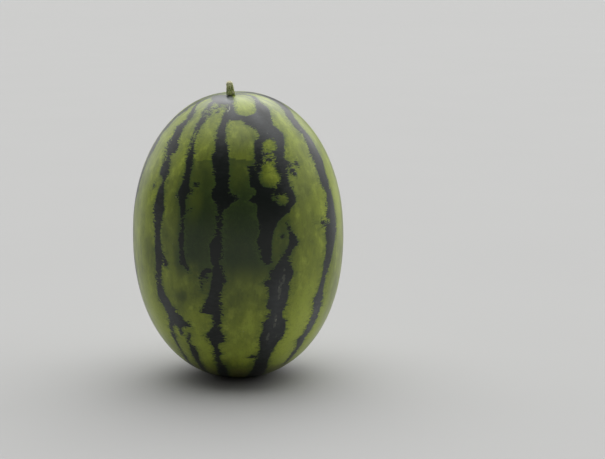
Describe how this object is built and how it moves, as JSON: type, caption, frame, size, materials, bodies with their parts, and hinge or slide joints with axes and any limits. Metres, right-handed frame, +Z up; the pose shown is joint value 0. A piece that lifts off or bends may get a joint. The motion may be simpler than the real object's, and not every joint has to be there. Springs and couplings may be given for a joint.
{
  "type": "watermelon",
  "caption": "Whole oblong striped watermelon with a short stub of its stalk, standing upright on a small flat spot at its blossom end.",
  "frame": {"origin": "middle of the small flat spot at the blossom end that the fruit stands on", "axes": "+Z up towards the stalk end, -Y towards the side that is shown from the front, +X to the right of it"},
  "size_m": [0.1884, 0.1884, 0.2653],
  "materials": {
    "rind": null,
    "stalk": "matt green stalk, paler and drier towards its cut tip"
  },
  "bodies": {
    "root": {"fruit": "rind", "stalk": "stalk"}
  },
  "joints": []
}
